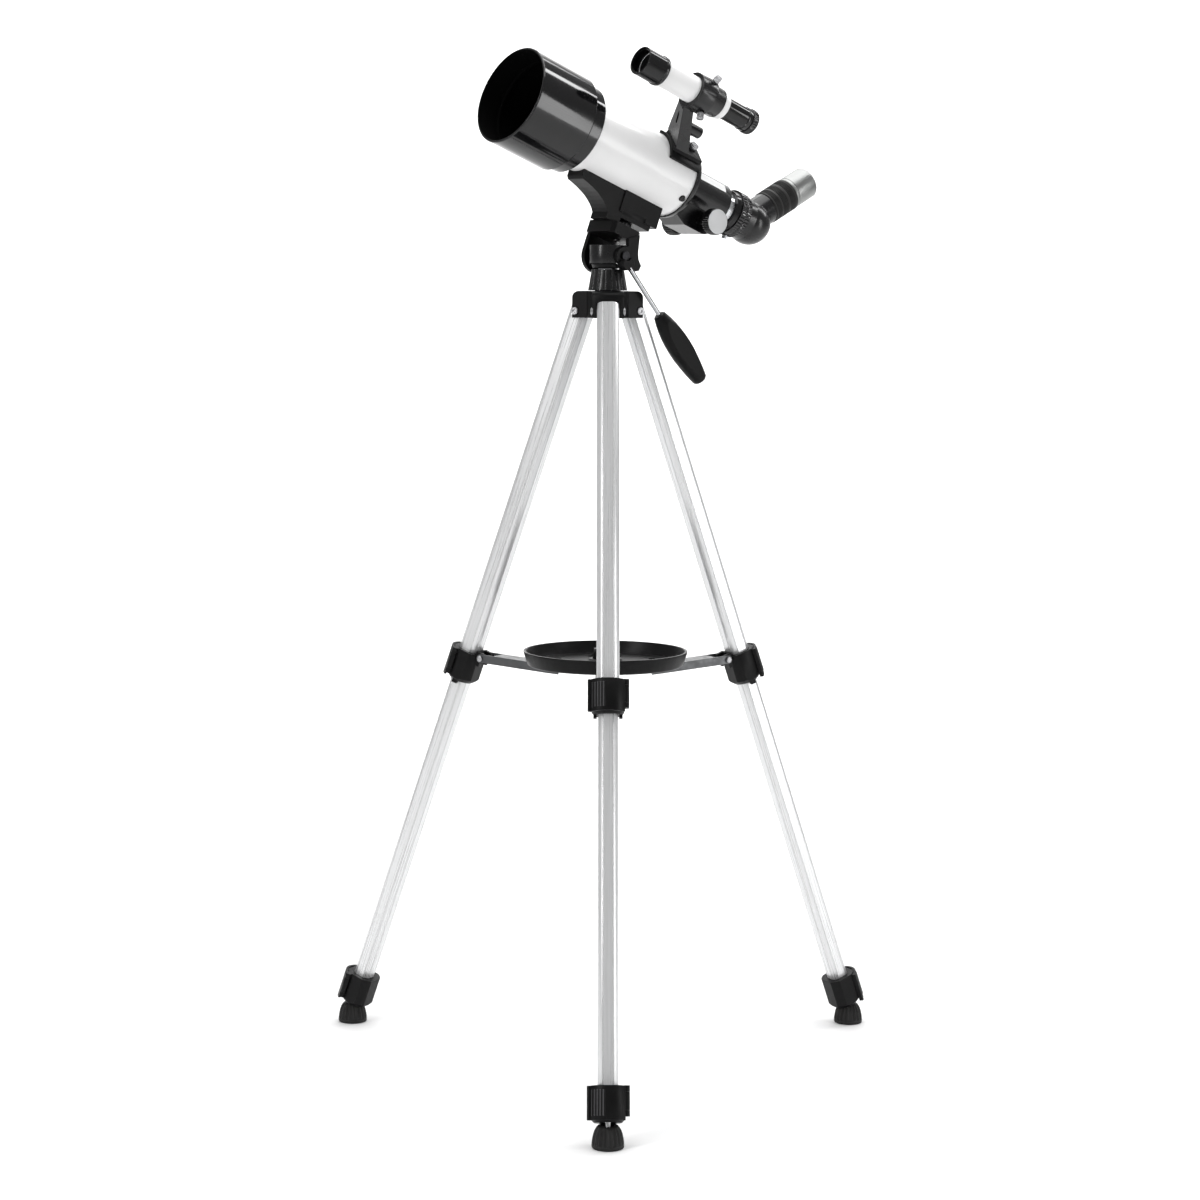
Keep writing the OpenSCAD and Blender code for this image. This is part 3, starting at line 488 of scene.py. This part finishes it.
def turn(name, node, matrix, outline, material, replace=True, corner=0.0003, steps=112, flutes=0):
    """Turns a closed outline of (x, radius, flute depth) round the local frame's x axis."""
    points = filleted(outline, corner)
    steps = max(steps, flutes * 6)
    mesh = bmesh.new()
    rings = []
    for k in range(steps):
        angle = 2 * math.pi * k / steps
        groove = 0.5 - 0.5 * math.cos(flutes * angle)
        ring = []
        for x, r, depth in points:
            r -= depth * groove
            ring.append(mesh.verts.new(matrix @ Vector((x, r * math.cos(angle), r * math.sin(angle)))))
        rings.append(ring)
    for k in range(steps):
        here, there = rings[k], rings[(k + 1) % steps]
        for i in range(len(points)):
            j = (i + 1) % len(points)
            if points[i][1] >= PINHOLE or points[j][1] >= PINHOLE:
                mesh.faces.new((here[i], here[j], there[j], there[i]))
    bmesh.ops.dissolve_degenerate(mesh, edges=mesh.edges, dist=MERGE)
    finish_mesh(mesh, name, node, material, replace)


def lens_outline(front, back, radius, bulge, n=8):
    """A biconvex lens: its two faces swell by the given bulge at the middle."""
    face = [(bulge * (1 - (k / n) ** 2), radius * k / n) for k in range(n + 1)]
    return [(front + x, r) for x, r in face] + [(back - x, r) for x, r in reversed(face)]


def draw_end():
    """Knurled ring on the draw tube, and the focuser's two grooved knobs."""
    front, rear, inner, knurl = -0.149, -0.167, 0.01702, 0.0008
    outline = [(front, inner), (front, 0.0190), (front - 0.0050, 0.0197)]
    for back, r, depth in ((0.0052, 0.0219, 0.0), (0.0062, 0.0219, knurl), (0.0108, 0.0219, knurl),
                           (0.0112, 0.0211, 0.0), (0.0120, 0.0211, 0.0), (0.0124, 0.0219, knurl),
                           (0.0168, 0.0219, knurl), (0.0174, 0.0214, 0.0)):
        outline.append((front - back, r, depth))
    outline += [(rear, 0.0208), (rear, inner)]
    turn("knurled_ring", "draw_collar", TUBE, outline, black, corner=0.00015, flutes=44)
    inner, mouth, start, end = 0.00252, 0.01153, 0.0238, 0.0340
    profile = [(start, inner, 0.0), (start, 0.0105, 0.0), (0.0246, 0.0118, 0.0002),
               (0.0254, 0.0124, 0.0009), (0.0326, 0.0124, 0.0009), (0.0334, 0.0121, 0.0),
               (end, 0.0118, 0.0), (end, mouth, 0.0), (0.0332, mouth, 0.0), (0.0332, inner, 0.0)]
    for side, name in ((1, "near"), (-1, "far")):
        outline = [(side * x, r, depth) for x, r, depth in profile]
        turn("focus_knob_" + name, "focus_knobs", SHAFT, outline, black, corner=0.0002, flutes=36)


def eyepiece_end():
    """Ribbed rubber sleeve, stepped bright eyepiece and its eye lens."""
    bottom, top, outer, groove = 0.01005, 0.0403, 0.0159, 0.0006
    rib_pitch, ledge, wide, narrow = 0.0014, 0.01615, 0.01462, 0.0142
    outline = [(bottom, wide), (bottom, 0.0150), (bottom + groove, outer)]
    for start, count in ((0.0122, 4), (0.0200, 5), (0.0300, 5)):
        for k in range(count):
            x = start + rib_pitch * k
            outline += [(x, outer), (x + 0.0002, outer - groove), (x + 0.0007, outer - groove),
                        (x + 0.0009, outer)]
    outline += [(top - groove, outer), (top, outer - groove), (top, narrow), (ledge, narrow),
                (ledge, wide)]
    turn("ribbed_sleeve", "eyepiece_grip", EYE, outline, black_rubber, corner=0.00012)
    start, field_r, rim, lip, cup = 0.018, 0.011, 0.01545, 0.0004, 0.0080
    outline = [(start, field_r), (start, 0.0139), (0.0404, 0.0139), (0.0404, rim - 0.0003),
               (0.0410, rim), (0.0430, rim), (0.0432, rim - lip), (0.0438, rim - lip),
               (0.0440, rim), (0.0662, rim), (0.0680, rim - 0.0012), (0.0680, 0.0122),
               (0.0672, 0.0116), (0.0655, 0.0092), (0.0645, cup), (0.062, cup), (0.062, field_r)]
    turn("silver_eyepiece", "eyepiece", EYE, outline, silver_eyepiece)
    turn("eye_lens", "eyepiece", EYE, lens_outline(0.0585, 0.0618, 0.0108, 0.0009), lens,
         replace=False)


def finder_ends():
    """Knurled finder eyepiece and the finder's two lenses."""
    front, rear, inner, barrel, wide, knurl = -0.057, -0.1012, 0.0086, 0.0104, 0.0119, 0.0006
    outline = [(front, inner), (front, barrel), (-0.0890, barrel), (-0.0894, 0.0112),
               (-0.0906, 0.0112), (-0.0930, 0.0112), (-0.0934, 0.0106), (-0.0940, 0.0106),
               (-0.0942, wide - 0.0004), (-0.0948, wide, knurl), (-0.0996, wide, knurl),
               (-0.1004, wide - 0.0003), (rear, wide - 0.0010), (rear, 0.0098),
               (-0.1004, 0.0096), (-0.1000, inner)]
    turn("finder_ocular", "finder_eyepiece", FINDER, outline, black, corner=0.00015, flutes=32)
    turn("finder_eye_lens", "finder_eyepiece", FINDER,
         lens_outline(-0.0985, -0.0962, 0.00855, 0.0006), dark_lens, replace=False)
    turn("finder_front_lens", "finder_tube", FINDER,
         lens_outline(0.0262, 0.0298, 0.01125, 0.0008), dark_lens, replace=False)


def feet():
    """Bell-shaped rubber feet with rounded flutes, hollow where the ball and its neck sit."""
    rim, socket, neck = 0.0138, 0.0054, 0.0046
    for leg in LEGS:
        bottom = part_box(leg + "_foot")[0].z
        middle = pivot(leg + "_foot_swivel")
        matrix = axes(UP, direction(leg + "_foot_swivel"), Vector((middle.x, middle.y, bottom)))
        ball = middle.z - bottom
        outline = [(0.0, PINHOLE), (0.0, 0.0128), (0.0006, rim), (0.0028, 0.0140), (0.0034, rim),
                   (0.0045, 0.01385, 0.0011), (0.0080, 0.0134, 0.0013), (0.0120, 0.0126, 0.0013),
                   (0.0155, 0.0114, 0.0011), (0.0175, 0.0102, 0.0006), (0.0190, 0.0088),
                   (0.0199, 0.0072), (0.0200, 0.0062), (ball + 0.0062, neck + 0.0012),
                   (ball + 0.0030, neck)]
        outline += [(ball + socket * math.cos(a), socket * math.sin(a)) for a in (1.2, 1.7, 2.2, 2.7)]
        outline.append((ball - socket, PINHOLE))
        turn(leg + "_rubber_foot", leg + "_foot", matrix, outline, black_rubber, corner=0.0004,
             flutes=20)


def rivets():
    """Domed bright heads on both ends of each spreader arm's rivet."""
    proud, dome, sunk, head_r, flat_r = 0.0117, 0.0004, 0.0005, 0.0030, 0.0020
    for leg in LEGS:
        across = direction(leg + "_arm_pivot")
        matrix = axes(across, UP.cross(across), pivot(leg + "_arm_pivot"))
        for side, name in ((1, "left"), (-1, "right")):
            outline = [(side * x, r) for x, r in (
                (proud - sunk, PINHOLE), (proud - sunk, head_r), (proud, head_r),
                (proud + dome, flat_r), (proud + dome, PINHOLE))]
            turn(f"{leg}_rivet_head_{name}", leg + "_spreader_arm", matrix, outline, screw_steel,
                 replace=False, steps=40)


def lever_ribs():
    """Five half-round ribs along the curved face of each flip lever."""
    face_r, rib_r, sunk, sides = 0.0188, 0.0008, 0.0003, 8
    count, pitch, first = 5, math.radians(8.5), math.radians(-47)
    # places along the rib, with the share of its full radius there
    stations = ((-0.0112, 0.3), (-0.0108, 1.0), (0.0108, 1.0), (0.0112, 0.3))
    for leg in LEGS:
        down = direction(leg + "_middle_slide")
        across = direction(leg + "_leg_fold")
        outward = across.cross(-down)
        top = pivot(leg + "_leg_fold")
        for part in LEVERS:
            node = f"{leg}_{part}"
            along = (centre(node) - top).dot(down)
            mesh = bmesh.new()
            for k in range(count):
                angle = first + pitch * k
                out = outward * math.cos(angle) + across * math.sin(angle)
                tangent = across * math.cos(angle) - outward * math.sin(angle)
                middle = top + down * along + out * face_r
                rings = []
                for end, share in stations:
                    ring = []
                    for t in (math.pi * n / sides for n in range(sides + 1)):
                        rise = rib_r * share * math.sin(t) - sunk
                        spread = rib_r * share * math.cos(t)
                        ring.append(mesh.verts.new(middle + down * end + out * rise + tangent * spread))
                    rings.append(ring)
                close_sweep(mesh, rings)
            # the ribs' paler black is a painted highlight
            finish_mesh(mesh, node + "_ribs", node, rib_black)


def close_sweep(mesh, rings):
    """Joins equal closed rings of vertices in turn, and caps both ends."""
    n = len(rings[0])
    for here, there in zip(rings, rings[1:]):
        for i in range(n):
            j = (i + 1) % n
            mesh.faces.new((here[i], here[j], there[j], there[i]))
    mesh.faces.new(rings[0])
    mesh.faces.new(rings[-1])


def label_strip():
    """Blank white label wrapped round the focuser barrel on its outer side."""
    front, rear, inner, thick = -0.098, -0.131, 0.02122, 0.00012
    start, end, steps = math.radians(38), math.radians(64), 12
    outer = inner + thick
    section = ((front, inner), (front, outer), (rear, outer), (rear, inner))
    mesh = bmesh.new()
    rows = []
    for k in range(steps + 1):
        angle = start + (end - start) * k / steps
        rows.append([mesh.verts.new(TUBE @ Vector((x, r * math.sin(angle), r * math.cos(angle))))
                     for x, r in section])
    close_sweep(mesh, rows)
    # the focuser rides with the main tube, whose body the label joins
    finish_mesh(mesh, "blank_label", "main_tube", paper)


soften_nodes()
feet()
draw_end()
eyepiece_end()
finder_ends()
rivets()
lever_ribs()
label_strip()


# ---- Floor, light and camera ----

# name, place, aimed at, (width, height), watts: tall narrow soft boxes on both sides, wide ones
# overhead and behind, and one on the wall that keeps the background white
LIGHTS = (
    ("key", (-1.9, -1.5, 1.6), (0, 0, 0.55), (0.18, 2.0), 26),
    ("fill", (2.0, -0.8, 0.6), (0, 0, 0.7), (0.4, 1.3), 10),
    ("edge", (1.5, 0.7, 2.0), (0, 0, 0.9), (0.28, 1.2), 12),
    ("top", (0.0, 0.1, 3.0), (0, 0, 0.55), (2.6, 2.6), 66),
    ("back", (0.0, 1.9, 2.6), (0, 1.2, 0), (2.6, 0.8), 24),
    ("wall", (0.0, 3.4, 3.2), (0, 5.6, 0.9), (4.0, 1.2), 210),
)
ROOM_LIGHT = 0.36


def floor():
    """A wide pale floor that curves up into a wall well behind the object."""
    half, front, back, height, bend, steps = 7.0, -7.0, 6.0, 5.0, 1.4, 12
    profile = [(front, 0.0), (back - bend, 0.0)]
    for k in range(1, steps + 1):
        angle = math.radians(90 * k / steps)
        profile.append((back - bend + bend * math.sin(angle), bend - bend * math.cos(angle)))
    profile.append((back, height))
    mesh = bmesh.new()
    rows = [[mesh.verts.new((side * half, y, z)) for side in (-1, 1)] for y, z in profile]
    for first, second in zip(rows, rows[1:]):
        mesh.faces.new((first[0], first[1], second[1], second[0])).smooth = True
    data = bpy.data.meshes.new("floor")
    mesh.to_mesh(data)
    mesh.free()
    pale = Nodes("pale_floor").surface(Base_Color=(*grey(0.86), 1), Roughness=0.9,
                                       Specular_IOR_Level=0.1)
    data.materials.append(pale)
    obj = bpy.data.objects.new("floor", data)
    bpy.context.scene.collection.objects.link(obj)
    obj.location.z = cad_low.z


def lights():
    """Soft boxes in an even pale room, hidden from the camera."""
    for name, place, target, size, power in LIGHTS:
        data = bpy.data.lights.new(name, "AREA")
        data.shape, data.energy = "RECTANGLE", power
        data.size, data.size_y = size
        obj = bpy.data.objects.new(name, data)
        obj.location = place
        aim = Vector(target) - Vector(place)
        obj.rotation_euler = aim.to_track_quat("-Z", "Y").to_euler()
        obj.visible_camera = False
        bpy.context.scene.collection.objects.link(obj)
    world = bpy.data.worlds.new("studio")
    world.use_nodes = True
    room = world.node_tree.nodes["Background"].inputs
    room["Color"].default_value = (1, 1, 1, 1)
    room["Strength"].default_value = ROOM_LIGHT
    bpy.context.scene.world = world
    bpy.context.scene.view_settings.view_transform = "Standard"


def camera():
    """The photograph's own view: from in front and a little above, through a long lens."""
    from_axis = Vector((-0.0458, -2.7346, 0.7414))
    across, ahead = 0.0148, 0.9999
    pitch, roll, sensor, focal = 0.1108, 0.0062, 36, 88.76
    data = bpy.data.cameras.new("camera")
    data.sensor_width, data.lens = sensor, focal
    obj = bpy.data.objects.new("camera", data)
    bpy.context.scene.collection.objects.link(obj)
    obj.location = tripod_axis + from_axis
    view = Vector((across * math.cos(pitch), ahead * math.cos(pitch), -math.sin(pitch)))
    turned = view.to_track_quat("-Z", "Y").to_matrix() @ Matrix.Rotation(roll, 3, "Z")
    obj.rotation_euler = turned.to_euler()
    bpy.context.scene.camera = obj


floor()
lights()
camera()
